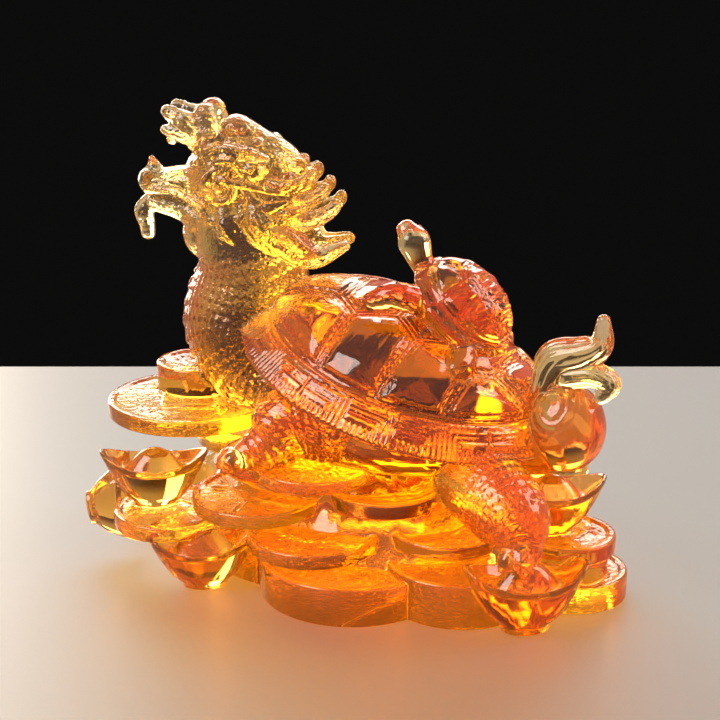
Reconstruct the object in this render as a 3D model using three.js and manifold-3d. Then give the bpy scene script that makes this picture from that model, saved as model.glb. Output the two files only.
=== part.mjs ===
// Dragon turtle figure: one casting in clear amber glass. A turtle with a dragon's head carries
// its young on its back and climbs a heap of round coins and boat-shaped ingots.
// Millimetres, +Z up. The head points along -X, and -Y is the turtle's left side.
// The origin is the middle of the flat underside.
import * as THREE from "three";
import { mergeVertices } from "three/addons/utils/BufferGeometryUtils.js";
import Module from "manifold-3d";

const wasm = await Module();
wasm.setup();

// Driving dimensions.
const heap = { length: 120, width: 68, height: 40 };
const coin = { rimWidth: 1.5, rimDepth: 0.6, facet: 3.4 }; // two more sides for each facet of radius
const ingot = { width: 0.6, height: 0.423, horn: 0.123, dome: 0.154 }; // shares of an ingot's length
const shell = {
  length: 74, // along the rim
  width: 62,
  height: 17.5, // crown above the rim's middle
  pitch: 17.5, // degrees, nose up
  droop: 2.5, // the rim hangs lower at the flanks
  band: 6.6, // height of the sloping band of rim plates
  bandShare: 0.85, // where the band starts, as a share of the half width
  belly: 7, // underside below the rim
  groove: 1.5, // gap between two plates
  plate: 0.6, // how far a plate stands up
};
const shellFineness = { segments: 20, longest: 20 };
const neck = { height: 38.3 }; // from the rim up to the jaw
const head = { length: 50, turn: 18 }; // nose to the last lock of the mane, and degrees to its left
const young = { length: 26.5, width: 24.5, height: 9, pitch: 44 };

// Places and thicknesses below are in hundredths of the half length, the half width and the height
// of what they belong to, so that each group keeps its shape when its size changes.
const onHeap = ([x, y, z]) => [
  (x * heap.length) / 200,
  (y * heap.width) / 200,
  (z * heap.height) / 100,
];
const shellRim = onHeap([20, 0, 114.2]);
const fromRim = (points) =>
  points.map(([x, y, z]) => [
    shellRim[0] + (x * shell.length) / 200,
    shellRim[1] + (y * shell.width) / 200,
    shellRim[2] + (z * shell.height) / 100,
  ]);
const girth = (size) => [size].flat().map((value) => (value * shell.width) / 200);
const girths = (sizes) => sizes.map(girth);

const up = new THREE.Vector3(0, 0, 1);
const degrees = THREE.MathUtils.degToRad;
const vector = (p) => new THREE.Vector3(...p);

// Turning a geometry into a solid, and joining solids.
function solidOf(geometry) {
  const bare = geometry.clone();
  bare.deleteAttribute("normal");
  bare.deleteAttribute("uv");
  const merged = mergeVertices(bare, 1e-3);
  const index = merged.index.array;
  const triVerts = [];
  for (let i = 0; i < index.length; i += 3) {
    const [a, b, c] = [index[i], index[i + 1], index[i + 2]];
    if (a !== b && b !== c && c !== a) triVerts.push(a, b, c);
  }
  return new wasm.Manifold(
    new wasm.Mesh({
      numProp: 3,
      vertProperties: merged.getAttribute("position").array,
      triVerts: new Uint32Array(triVerts),
    }),
  );
}

const fuse = (solids) => solids.reduce((whole, next) => whole.add(next));

function geometryOf(solid) {
  const { vertProperties, triVerts } = solid.getMesh();
  const geometry = new THREE.BufferGeometry();
  geometry.setAttribute("position", new THREE.BufferAttribute(new Float32Array(vertProperties), 3));
  geometry.setIndex(new THREE.BufferAttribute(new Uint32Array(triVerts), 1));
  return geometry;
}

// Moves each vertex of a geometry to where move(point) says.
function warp(geometry, move) {
  const position = geometry.getAttribute("position");
  const point = new THREE.Vector3();
  for (let i = 0; i < position.count; i += 1) {
    move(point.fromBufferAttribute(position, i));
    position.setXYZ(i, point.x, point.y, point.z);
  }
  return geometry;
}

// A turned form whose axis is Z, from [radius, height] pairs that start and end on the axis.
function turned(profile, segments) {
  const points = profile.map(([r, z]) => new THREE.Vector2(r, z));
  return new THREE.LatheGeometry(points, segments).rotateX(Math.PI / 2);
}

// An egg-shaped lump, with its poles above and below.
function blob(centre, radii, segments, rows) {
  const ball = new THREE.SphereGeometry(1, segments, rows).rotateX(Math.PI / 2);
  return ball.scale(...radii).translate(...centre);
}

// A tapering limb along a smooth curve, with a blunt point at each end. Each size is
// [half width along Y, half depth] or one number for both.
function limb(points, sizes, { sides = 6, steps = 4 } = {}) {
  const bluntness = 0.6;
  const across = new THREE.Vector3(0, 1, 0);
  const curve = new THREE.CatmullRomCurve3(points.map(vector));
  const pairs = sizes.map((size) => [size].flat()).map(([w, d = w]) => [w, d]);
  const sizeCurve = new THREE.CatmullRomCurve3(pairs.map(([w, d]) => new THREE.Vector3(w, d, 0)));
  const at = (t) => {
    const tangent = curve.getTangent(t);
    const wide = across.clone().addScaledVector(tangent, -across.dot(tangent)).normalize();
    const deep = new THREE.Vector3().crossVectors(tangent, wide);
    return { middle: curve.getPoint(t), tangent, wide, deep, size: sizeCurve.getPoint(t) };
  };
  const rings = Array.from({ length: steps + 1 }, (_, k) => {
    const { middle, wide, deep, size } = at(k / steps);
    return Array.from({ length: sides }, (__, i) => {
      const angle = (2 * Math.PI * (i + 0.5)) / sides;
      return middle
        .clone()
        .addScaledVector(wide, size.x * Math.cos(angle))
        .addScaledVector(deep, size.y * Math.sin(angle));
    });
  });
  const end = (t, way) => {
    const { middle, tangent, size } = at(t);
    return middle.addScaledVector(tangent, way * bluntness * Math.min(size.x, size.y));
  };
  return skin(rings, end(0, -1), end(1, 1));
}

// A closed skin over rings of points, with a point at each end.
function skin(rings, start, end) {
  const sides = rings[0].length;
  const vertices = [start, ...rings.flat(), end];
  const last = vertices.length - 1;
  const at = (ring, side) => 1 + ring * sides + (side % sides);
  const index = [];
  for (let side = 0; side < sides; side += 1) {
    index.push(0, at(0, side + 1), at(0, side));
    for (let ring = 0; ring < rings.length - 1; ring += 1) {
      const [a, b] = [at(ring, side), at(ring, side + 1)];
      const [c, d] = [at(ring + 1, side + 1), at(ring + 1, side)];
      index.push(a, b, c, a, c, d);
    }
    index.push(last, at(rings.length - 1, side), at(rings.length - 1, side + 1));
  }
  const geometry = new THREE.BufferGeometry().setFromPoints(vertices);
  geometry.setIndex(index);
  return geometry;
}

// The same form on the turtle's other flank.
const mirrored = (points) => points.map(([x, y, z]) => [x, -y, z]);

// A turtle shell's height over its rim plane at u, v, which are shares of the half length and width.
function shellHeight(spec, u, v) {
  const q = Math.min(1, Math.hypot(u, v));
  const droop = spec.droop * v * v;
  const start = spec.bandShare;
  if (q >= start) return (spec.band * (1 - q)) / (1 - start) - droop;
  return spec.band + (spec.height - spec.band) * (1 - (q / start) ** 2.3) ** 0.62 - droop;
}

// The bare shell: a dome over a sloping rim band, closed by a shallow underside.
function shellBody(spec, segments) {
  const domeRows = [0, 0.3, 0.55, 0.72, spec.bandShare];
  const outer = [...domeRows, 1].map((q) => [q, shellHeight(spec, q, 0)]);
  const under = [[0.98, -0.2], [0.7, -0.75]].map(([q, z]) => [q, z * spec.belly]);
  const profile = [[0, -spec.belly], ...under.reverse(), ...outer.reverse()];
  return warp(turned(profile, segments), (p) => {
    p.z -= spec.droop * p.y * p.y;
    p.x *= spec.length / 2;
    p.y *= spec.width / 2;
  });
}

// A polygon's outline drawn in by a distance, in plan.
function drawnIn(polygon, distance) {
  const n = polygon.length;
  const edge = (i) => {
    const [a, b] = [polygon[(i + n) % n], polygon[(i + 1 + n) % n]];
    const along = b.clone().sub(a).normalize();
    return { a, along, inward: new THREE.Vector2(-along.y, along.x) };
  };
  return polygon.map((corner, i) => {
    const [before, after] = [edge(i - 1), edge(i)];
    const bisector = before.inward.clone().add(after.inward).normalize();
    return corner.clone().addScaledVector(bisector, distance / Math.max(0.4, bisector.dot(after.inward)));
  });
}

// One raised plate over the plan polygon, which runs anticlockwise. Its edges are split so that
// none is much longer than the longest.
function plate(spec, corners, longest) {
  const half = new THREE.Vector2(spec.length / 2, spec.width / 2);
  const polygon = drawnIn(corners.map(([u, v]) => new THREE.Vector2(u, v).multiply(half)), spec.groove / 2);
  const outline = polygon.flatMap((a, i) => {
    const b = polygon[(i + 1) % polygon.length];
    const parts = Math.max(1, Math.round(a.distanceTo(b) / longest));
    return Array.from({ length: parts }, (_, k) => a.clone().lerp(b, k / parts));
  });
  const middle = outline.reduce((sum, p) => sum.add(p), new THREE.Vector2()).divideScalar(outline.length);
  const raised = (p, lift) =>
    new THREE.Vector3(p.x, p.y, shellHeight(spec, p.x / half.x, p.y / half.y) + lift);
  const ring = (share, lift) => outline.map((p) => raised(middle.clone().lerp(p, share), lift));
  const low = -3 * spec.plate;
  return skin([ring(1, low), ring(1, spec.plate)], raised(middle, low), raised(middle, spec.plate));
}

// The plan polygons of the shell's plates, as shares of its half length and width.
const seams = {
  spine: [-0.41, -0.05, 0.3, 0.6], // across the middle row
  flank: [-0.26, 0.13, 0.48], // between the plates at each side
  narrow: 0.28, // half width of the middle row at its own seams
  wide: 0.43, // and at the side seams
  edge: 0.83, // where the side plates end
  rimPlates: 20,
};

const onEdge = (u) => Math.sqrt(Math.max(0, seams.edge ** 2 - u * u));

function spinePlates() {
  const { spine, flank, narrow, wide, edge } = seams;
  const front = [
    [-edge * 0.97, 0.2], [-edge * 0.97, -0.2], [spine[0], -narrow], [spine[0], narrow],
  ];
  const rear = [
    [spine[3], -narrow], [edge * 0.97, -0.2], [edge * 0.97, 0.2], [spine[3], narrow],
  ].map(([u, v]) => [u, u > spine[3] ? v * 0.9 : v * 0.85]);
  const middle = flank.map((side, i) => [
    [spine[i], -narrow], [side, -wide], [spine[i + 1], -narrow],
    [spine[i + 1], narrow], [side, wide], [spine[i], narrow],
  ]);
  return [front, ...middle, rear];
}

function flankPlates(side) {
  const { spine, flank, narrow, wide, edge } = seams;
  const outer = (from, to) => [0, 0.5, 1].map((s) => {
    const u = THREE.MathUtils.lerp(from, to, s);
    return [u, -onEdge(u)];
  });
  const front = [
    [spine[0], -narrow], [-edge * 0.95, -0.24], ...outer(-edge * 0.85, flank[0]), [flank[0], -wide],
  ];
  const rear = [
    [spine[3], -narrow * 0.9], [flank[2], -wide], ...outer(flank[2], edge * 0.85), [edge * 0.95, -0.24],
  ];
  const between = [0, 1].map((i) => [
    ...outer(flank[i], flank[i + 1]), [flank[i + 1], -wide], [spine[i + 1], -narrow], [flank[i], -wide],
  ]);
  const plates = [front, ...between, rear];
  return side < 0 ? plates : plates.map((p) => p.map(([u, v]) => [u, -v]).reverse());
}

function rimPlates(spec) {
  const inner = spec.bandShare + 0.015;
  const outer = 0.99;
  return Array.from({ length: seams.rimPlates }, (_, i) => {
    const [from, to] = [i, i + 1].map((k) => (2 * Math.PI * k) / seams.rimPlates);
    const at = (q, angle) => [q * Math.cos(angle), q * Math.sin(angle)];
    return [at(inner, from), at(outer, from), at(outer, to), at(inner, to)];
  });
}

function shellForms(spec, { segments, longest }) {
  const plates = [...spinePlates(), ...flankPlates(-1), ...flankPlates(1)];
  return [
    shellBody(spec, segments),
    ...plates.map((outline) => plate(spec, outline, longest)),
    ...rimPlates(spec).map((outline) => plate(spec, outline, 2 * longest)),
  ];
}

// Where the big shell lies, and where its young lies on it.
function shellPlace() {
  return new THREE.Matrix4()
    .makeTranslation(...shellRim)
    .multiply(new THREE.Matrix4().makeRotationY(degrees(shell.pitch)));
}

function youngPlace() {
  return new THREE.Matrix4()
    .makeTranslation(...fromRim([[38.6, 0, 98]])[0])
    .multiply(new THREE.Matrix4().makeRotationY(degrees(young.pitch)));
}

const placed = (forms, matrix) => forms.map((form) => form.applyMatrix4(matrix));

// A place in front of the shell: forward of its middle, and up by a share of the neck's height.
function aboveRim(forward, rise) {
  const [[x, y, z]] = fromRim([[forward, 0, 0]]);
  return [x, y, z + (rise * neck.height) / 100];
}

// The turtle's body and its neck, which rises in front of the shell.
function body() {
  const [[x, y, z]] = fromRim([[0, 0, -50]]);
  const belly = blob([x, y, z], [shell.length * 0.42, shell.width * 0.36, shell.belly * 1.6], 10, 6);
  const line = [[-43.2, -10.4], [-86.5, -7.8], [-103.8, 20.9], [-97.3, 52.2], [-102.7, 83.6]];
  const bend = line.map(([forward, rise]) => aboveRim(forward, rise));
  const sizes = girths([[38.7, 32.3], [40.3, 33.9], [43.9, 44.5], [37.1, 40], [35.5, 38.7]]);
  return [belly, limb(bend, sizes, { sides: 10, steps: 5 })];
}

const bothFlanks = [(points) => points, mirrored];

// The near legs, and the far ones a stride out of step with them.
function legs() {
  const fore = [[-23.2, -48.4, -32.6], [-45.9, -67.7, -37.7], [-53.5, -79, -59.4], [-63, -90.3, -70.3]];
  const hind = [[56.7, -38.7, -93.1], [77.7, -54.8, -95], [94.6, -69.4, -114.9], [101.4, -79, -138.9]];
  const stride = 16;
  return bothFlanks.flatMap((flank, far) => {
    const stepped = (points) => flank(fromRim(points.map(([x, y, z]) => [x - far * stride, y, z])));
    const [foreLine, hindLine] = [fore, hind].map(stepped);
    return [
      limb(foreLine, girths([31.9, 24.5, 18.4, 11]), { sides: 8, steps: 3 }),
      limb(hindLine, girths([24.2, 27.4, 24.2, 14.8]), { sides: 8, steps: 3 }),
      ...toes(flank, foreLine.at(-1), -70),
      ...toes(flank, hindLine.at(-1), -20),
    ];
  });
}

// Three claws spread from a foot, around the heading in degrees from the flank towards -X.
function toes(flank, foot, heading) {
  return [-44, 0, 44].map((spread) => {
    const angle = degrees(heading + spread);
    const [[dx, dy]] = flank([[Math.sin(angle), -Math.cos(angle), 0]]);
    const along = (shares) => {
      const [reach, drop] = girth(shares);
      return [foot[0] + dx * reach, foot[1] + dy * reach, foot[2] - drop];
    };
    const points = [along([6.5, 1.9]), along([17.5, 7.1])];
    return limb(points, girths([8.7, 4.8]), { sides: 4, steps: 1 });
  });
}

function tail() {
  const [bulbAt] = fromRim([[103.5, 0, -33.1]]);
  const bulb = blob(bulbAt, girth([27.4, 27.4, 30.6]), 10, 7);
  const root = limb(
    fromRim([[54.1, 0, -45.7], [88.4, 0, -53.1], [103.5, 0, -33.1]]),
    girths([[27.4, 22.6], [25.8, 24.2], [19.4, 19.4]]),
    { sides: 8, steps: 2 },
  );
  const plume = limb(
    fromRim([[89.2, 0, 11.4], [97.3, 0, 48.6], [110.8, 0, 60], [121.6, 0, 74.3], [123, 0, 105.7]]),
    girths([[10.3, 9.7], [11.6, 14.8], [10.3, 12.9], [7.7, 9], [4.5, 4.5]]),
  );
  const lobe = limb(
    fromRim([[104, 0, 32], [119.2, 0, 37], [128.1, 0, 27.4], [123, 0, 10.9]]),
    girths([[10.3, 9.7], [9.7, 9], [8.4, 7.1], [5.8, 4.5]]),
  );
  return [bulb, root, plume, lobe];
}

// The dragon's head, in its own axes and in hundredths of its own length: the origin is inside its
// jaw, and -X is forward.
function headForm() {
  const skull = blob([5, 0, 6], [28, 21, 21], 10, 6);
  const snout = limb(
    [[4, 0, 7], [-14, 0, 5.2], [-28, 0, 4.8], [-38.8, 0, 3.2]],
    [[18, 11], [13, 6.8], [10, 5.2], [9.2, 4.6]],
    { sides: 8 },
  );
  const jaw = limb(
    [[10, 0, -20], [-10, 0, -14.8], [-23, 0, -7.2], [-36.8, 0, -4.4]],
    [[20, 18], [16, 12], [9.2, 5.6], [7.2, 3.6]],
    { sides: 8 },
  );
  const nose = blob([-39.2, 0, 4.4], [4.8, 9.6, 5.2], 8, 4);
  const noseHorn = limb([[-36.4, 0, 7.2], [-38, 0, 13.2]], [4.4, 1.6], { sides: 4, steps: 1 });
  const beard = limb(
    [[-36.8, 0, -4], [-42, 0, -10], [-41.2, 0, -16], [-40.8, 0, -20.8]],
    [[4.8, 4], [5.2, 4.6], [4.2, 3.6], [3.4, 3.2]],
    { sides: 5, steps: 3 },
  );
  const crest = limb(
    [[-5.2, 0, 20], [0, 0, 27.2], [10, 0, 23.2], [20, 0, 17.2], [26.8, 0, 9.2]],
    [[7.2, 6], [8.8, 6.4], [8.8, 5.2], [8, 5.2], [6, 4]],
    { steps: 4 },
  );
  return [skull, snout, jaw, nose, noseHorn, beard, crest];
}

function headPair(side) {
  const eye = blob(side([[-3, -18.8, 12.8]])[0], [5.2, 3.8, 4.4], 6, 4);
  const brow = limb(
    side([[-14, -12, 14], [-4, -17.2, 19.2], [8, -20, 18], [18, -21, 18.8]]),
    [2.6, 3.8, 3.4, 1.8],
    { sides: 4, steps: 3 },
  );
  const lip = limb(
    side([[-39.2, -7.2, 1.2], [-26, -11.2, 1.2], [-13.2, -16.4, -4], [-6, -19.6, -10], [4, -21.2, -6.8]]),
    [1.8, 2.2, 2.6, 2.8, 2],
    { sides: 4 },
  );
  return [eye, brow, lip, ...antler(side), ...mane(side), cheekCurl(side)];
}

function antler(side) {
  const beam = limb(
    side([[-7.2, -12, 10], [-12, -13.6, 23], [-15.2, -14, 33.2], [-14.8, -14.4, 37.6]]),
    [5.2, 5, 5.8, 5],
    { steps: 3 },
  );
  const fore = limb(
    side([[-12, -13.6, 22], [-22, -14, 29.2], [-31.2, -14.4, 34.4]]),
    [5, 4.8, 2.6],
    { sides: 5, steps: 2 },
  );
  const spur = limb(side([[-18.8, -14, 26], [-28.8, -14, 26.8]]), [3.8, 2], { sides: 4, steps: 1 });
  return [beam, fore, spur];
}

// A curl on the cheek, behind the corner of the mouth.
function cheekCurl(side) {
  const turns = 1.25;
  const bends = 6;
  const points = Array.from({ length: bends + 1 }, (_, i) => {
    const t = i / bends;
    const angle = 2 * Math.PI * turns * t + Math.PI / 2;
    const reach = 8.4 * (1 - 0.75 * t);
    return [-4.4 + reach * Math.cos(angle), -20 - 2 * t, 5.6 + reach * Math.sin(angle)];
  });
  return limb(side(points), [2.2, 2.4, 2.4, 2.2, 2, 1.8, 1.6], { sides: 4, steps: bends });
}

// Locks that sweep back from the cheek and the crown, each turned up at its tip.
function mane(side) {
  const tips = [[30, -6, 14], [36, -8, 10], [41.2, -9.2, 4], [46, -10, -2.8]];
  const locks = tips.map(([x, y, z], i) => {
    const root = [8, y * 1.4, z * 0.5];
    const bend = [THREE.MathUtils.lerp(root[0], x, 0.66), y * 1.6, z - 6 - i * 0.4];
    return limb(side([root, bend, [x, y, z]]), [6.6, 4.8, 2.8], { sides: 4, steps: 3 });
  });
  const low = limb(
    side([[6, -16, -14], [24, -18, -18], [36, -14, -26], [50, -8, -22]]),
    [8, 8.4, 6, 2.8],
    { sides: 5, steps: 3 },
  );
  const fringe = [[-2, -20, -12], [12, -23, -10]].map(([x, y, z]) =>
    limb(
      side([[x, y * 0.7, z + 8], [x + 2, y, z], [x + 8, y - 1.2, z - 10]]),
      [6.8, 6.4, 2.4],
      { sides: 4, steps: 2 },
    ),
  );
  return [...locks, low, ...fringe];
}

function dragonHead() {
  const forms = [...headForm(), ...bothFlanks.flatMap(headPair)];
  const place = new THREE.Matrix4()
    .makeTranslation(...aboveRim(-108.1, 100))
    .multiply(new THREE.Matrix4().makeRotationZ(degrees(head.turn)))
    .scale(new THREE.Vector3().setScalar(head.length / 100));
  return placed(forms, place);
}

// The young turtle on the shell, in its own shell's axes.
function youngTurtle() {
  const { length, width, height } = young;
  const spec = {
    ...shell,
    length,
    width,
    height,
    droop: 0.07 * height,
    band: 0.24 * height,
    belly: 0.7 * height,
    groove: 0.04 * width,
    plate: 0.013 * width,
  };
  const share = (points) => points.map(([x, y, z]) => [x * length, y * width, z * height]);
  const thick = (sizes) => sizes.map((size) => [size].flat().map((value) => value * width));
  const neckForm = limb(
    share([[-0.3, 0, 0], [-0.49, 0, 0.02], [-0.66, 0, 0.22], [-0.79, 0, 0.3]]),
    thick([[0.13, 0.11], [0.115, 0.105], [0.155, 0.145], [0.1, 0.08]]),
    { steps: 3 },
  );
  const feet = bothFlanks.flatMap((flank) => [
    [[-0.22, -0.3, -0.24], [-0.4, -0.5, -0.42], [-0.5, -0.56, -0.88]],
    [[0.26, -0.3, -0.24], [0.36, -0.52, -0.42], [0.3, -0.62, -0.78]],
  ].map((points) => limb(flank(share(points)), thick([0.13, 0.126, 0.078]), { sides: 4, steps: 2 })));
  const plates = spinePlates().map((outline) => plate(spec, outline, length));
  return placed([shellBody(spec, 12), ...plates, neckForm, ...feet], youngPlace());
}

// A round coin. The ones in view have a raised edge on the upper face.
function coinForm(radius, thickness, edged) {
  const { rimWidth, rimDepth, facet } = coin;
  const blank = [[0, 0], [radius, 0], [radius, thickness]];
  const recess = [
    [radius - rimWidth, thickness],
    [radius - rimWidth - rimDepth, thickness - rimDepth],
    [0, thickness - rimDepth],
  ];
  return turned([...blank, ...(edged ? recess : [[0, thickness]])], 2 * Math.round(radius / facet) + 4);
}

// A boat-shaped ingot: a bowl with raised ends, and a dome in the middle. Its profile is in
// shares of the half length and of the height.
function ingotForm(length) {
  const { width, height, horn, dome } = ingot;
  const bowl = [[0, 0], [0.42, 0], [0.78, 0.45], [1, 1], [0.62, 0.8]];
  return warp(turned([...bowl, [0.38, 1.16], [0, 1 + dome / height]], 10), (p) => {
    const q = Math.hypot(p.x, p.y);
    const ends = q > 0 ? (Math.abs(p.x) / q) ** 3 * Math.max(0, q - 0.45) ** 1.5 : 0;
    p.x *= (length / 2) * (0.88 + 0.3 * ends);
    p.y *= (length / 2) * width;
    p.z = (p.z * height + 2.45 * horn * ends) * length;
  });
}

// Where a piece of the heap lies: its middle, its lean in degrees, and which way it leans,
// in degrees from -Y towards +X. A turn spins it about its own axis.
function lying(form, share, lean = 0, towards = 0, turn = 0) {
  const axis = new THREE.Vector3(Math.cos(degrees(towards)), Math.sin(degrees(towards)), 0);
  const place = new THREE.Matrix4()
    .makeTranslation(...onHeap(share))
    .multiply(new THREE.Matrix4().makeRotationAxis(axis, degrees(lean)))
    .multiply(new THREE.Matrix4().makeRotationAxis(up, degrees(turn)));
  return form.applyMatrix4(place);
}

// Each coin: the middle of its lower face, its radius in hundredths of the heap's half length, its
// thickness in hundredths of the heap's height, its lean and which way it leans.
const nearCoins = [
  [[-58.3, -29.4, 86.5], 31.7, 9, 0, 0],
  [[-63.3, -4.4, 95], 16.3, 7.5, 0, 0],
  [[-63.3, -4.4, 100], 16.3, 10, 0, 0],
  [[-57.5, -61.8, 30], 21.7, 9, 2, -30],
  [[-25.8, -44.1, 42.5], 24.7, 8.5, 2, -20],
  [[-1.7, -47.1, 68.5], 22.5, 7.5, 3, 10],
  [[-20, -35.3, 65], 21.7, 7.5, 0, 0],
  [[-1, -50.3, 28.5], 24.7, 8.5, 2, 0],
  [[10.7, -37.1, 0], 34.2, 21.5, 0, 0],
  [[17.7, -11.8, 47.5], 22.5, 10, 2, 0],
  [[43, -14.7, 31.5], 21.7, 8.5, 2, 0],
  [[85.3, 17.1, 0], 20, 15.5, 0, 0],
  [[83.3, 11.8, 15], 15.7, 16, 0, 0],
  [[84.2, 8.8, 28.5], 17.7, 10, 0, 0],
];
const farCoins = [
  [[50, -23.5, 0], 26.7, 25, 0, 0],
  [[-51.7, 41.2, 0], 26.7, 20, 0, 0],
  [[-3.3, 47.1, 0], 30, 20, 0, 0],
  [[41.7, 47.1, 0], 25, 17.5, 0, 0],
  [[-51.7, 41.2, 50], 25, 15, 3, 160],
  [[20, 55.9, 20], 25, 15, 4, 170],
  [[-10, 44.1, 55], 25, 15, 5, 190],
  [[56.7, 41.2, 20], 23.3, 15, 5, 150],
  [[-23.3, 52.9, 22.5], 25, 15, 4, 180],
  [[26.7, 50, 47.5], 21.7, 15, 4, 170],
];

// Each ingot: the middle of its foot, its length in hundredths of the heap's half length, its lean,
// which way it leans and its turn.
const ingots = [
  [[-65, -60.3, 36], 40.8, 0, 0, 28],
  [[-40, -73.5, -1], 41.7, 4, 0, 28],
  [[80, -47.1, 0], 45, 0, 0, 34],
  [[78.3, 5.9, 36], 40, 0, 0, 30],
  [[-95, -61.8, 27.5], 35, 80, 115, 25],
  [[-76.7, 29.4, 0], 40, 0, 0, 80],
  [[6.7, 79.4, 16.2], 40, 3, 180, 0],
  [[-70, 38.2, 50], 38.4, 4, 180, -28],
];

function treasure() {
  const ofLength = (share) => (share * heap.length) / 200;
  const lay = (edged) => ([share, radius, thickness, ...lie]) => {
    const form = coinForm(ofLength(radius), (thickness * heap.height) / 100, edged);
    return lying(form, share, ...lie);
  };
  return [
    ...nearCoins.map(lay(true)),
    ...farCoins.map(lay(false)),
    ...ingots.map(([share, length, ...lie]) => lying(ingotForm(ofLength(length)), share, ...lie)),
  ];
}

// The glass that fills the heap between its coins and carries the turtle's belly, lower at the rear.
function heapCore() {
  const profile = [[0, 0], [0.69, 0], [0.68, 0.14], [0.58, 0.35], [0.44, 0.6], [0.28, 0.77], [0, 0.84]];
  return warp(turned(profile, 14), (p) => {
    p.z *= heap.height * (1 - 0.31 * p.x);
    p.x *= heap.length / 2;
    p.y *= 0.46 * heap.width;
  });
}

// What lies below the table is cut off, which leaves the flat underside.
function belowTable() {
  const { length, width, height } = heap;
  return solidOf(new THREE.BoxGeometry(2 * length, 2 * width, height).translate(0, 0, -height / 2));
}

const forms = [
  heapCore(), ...treasure(), ...body(), ...legs(), ...tail(), ...dragonHead(), ...youngTurtle(),
  ...placed(shellForms(shell, shellFineness), shellPlace()),
];
const whole = fuse(forms.map(solidOf)).subtract(belowTable());

const geometry = geometryOf(whole);
geometry.computeBoundingBox();
const middle = geometry.boundingBox.getCenter(new THREE.Vector3());
geometry.translate(-middle.x, -middle.y, -geometry.boundingBox.min.z);
geometry.computeVertexNormals();

const amberGlass = new THREE.MeshStandardMaterial({
  color: 0xe08a1e, roughness: 0.08, metalness: 0, transparent: true, opacity: 0.85,
});
const figure = new THREE.Mesh(geometry, amberGlass);
figure.name = "dragon_turtle";

const part = new THREE.Group();
part.add(figure);

export default part;
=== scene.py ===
# Dragon turtle figure: one casting in clear amber glass, on a pale table.
# Shapes are worked out in millimetres, with the head towards -X and the table at z = 0.
import math
import bmesh
import bpy
import numpy as np
from mathutils import Matrix, Vector


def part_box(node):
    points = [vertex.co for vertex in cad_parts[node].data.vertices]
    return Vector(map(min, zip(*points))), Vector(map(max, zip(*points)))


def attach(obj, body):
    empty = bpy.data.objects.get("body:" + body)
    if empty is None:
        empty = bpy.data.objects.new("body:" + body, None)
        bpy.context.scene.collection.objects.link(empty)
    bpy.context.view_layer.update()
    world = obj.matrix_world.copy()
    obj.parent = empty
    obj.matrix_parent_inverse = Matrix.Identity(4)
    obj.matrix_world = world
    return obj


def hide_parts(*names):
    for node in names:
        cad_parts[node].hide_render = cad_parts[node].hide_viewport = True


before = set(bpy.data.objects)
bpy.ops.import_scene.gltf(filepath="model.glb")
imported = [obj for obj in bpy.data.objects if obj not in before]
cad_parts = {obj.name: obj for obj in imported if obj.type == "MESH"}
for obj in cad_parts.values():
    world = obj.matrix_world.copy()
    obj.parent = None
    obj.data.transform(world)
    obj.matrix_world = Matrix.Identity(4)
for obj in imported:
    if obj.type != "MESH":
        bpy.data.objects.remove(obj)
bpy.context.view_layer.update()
mm = 0.001

casting = {
    "grain": 0.24,  # voxel of the joined casting, in mm
    "softening": 1,  # smoothing passes, which leave the small fillets of a mould
    "mostTriangles": 196000,
    "modelMiddle": (2.45, 0.25),  # plan middle of the shapes below
}


# Curves and skins

# Points at the shares t of a centripetal curve through the points.
def smoothPath(points, t):
    p = np.asarray(points, float)
    p = np.vstack([2 * p[0] - p[1], p, 2 * p[-1] - p[-2]])
    spans = len(p) - 3
    at = np.clip(np.asarray(t, float) * spans, 0, spans - 1e-9)
    i = at.astype(int)
    w = (at - i)[:, None]
    p0, p1, p2, p3 = p[i], p[i + 1], p[i + 2], p[i + 3]
    chords = ((p0, p1), (p1, p2), (p2, p3))
    d0, d1, d2 = [np.linalg.norm(b - a, axis=1)[:, None] ** 0.5 for a, b in chords]
    d1 = np.maximum(d1, 1e-4)
    d0, d2 = np.where(d0 < 1e-3, d1, d0), np.where(d2 < 1e-3, d1, d2)
    m1 = ((p1 - p0) / d0 - (p2 - p0) / (d0 + d1) + (p2 - p1) / d1) * d1
    m2 = ((p2 - p1) / d1 - (p3 - p1) / (d1 + d2) + (p3 - p2) / d2) * d1
    return p1 + m1 * w + (3 * (p2 - p1) - 2 * m1 - m2) * w**2 + (2 * (p1 - p2) + m1 + m2) * w**3


# A closed skin over rings of points, with a point at each end.
def skin(rings, start, end):
    count, sides, _ = rings.shape
    vertices = np.vstack([start, rings.reshape(-1, 3), end])
    i = np.arange(sides)
    j = (i + 1) % sides
    a = 1 + np.arange(count - 1)[:, None] * sides + i
    b = 1 + np.arange(count - 1)[:, None] * sides + j
    c, d = b + sides, a + sides
    last = 1 + (count - 1) * sides
    triangles = [
        np.stack([np.zeros_like(i), 1 + j, 1 + i], 1),
        np.stack([a, b, c], 2).reshape(-1, 3),
        np.stack([a, c, d], 2).reshape(-1, 3),
        np.stack([np.full_like(i, last + sides), last + i, last + j], 1),
    ]
    return vertices, np.vstack(triangles)


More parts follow.
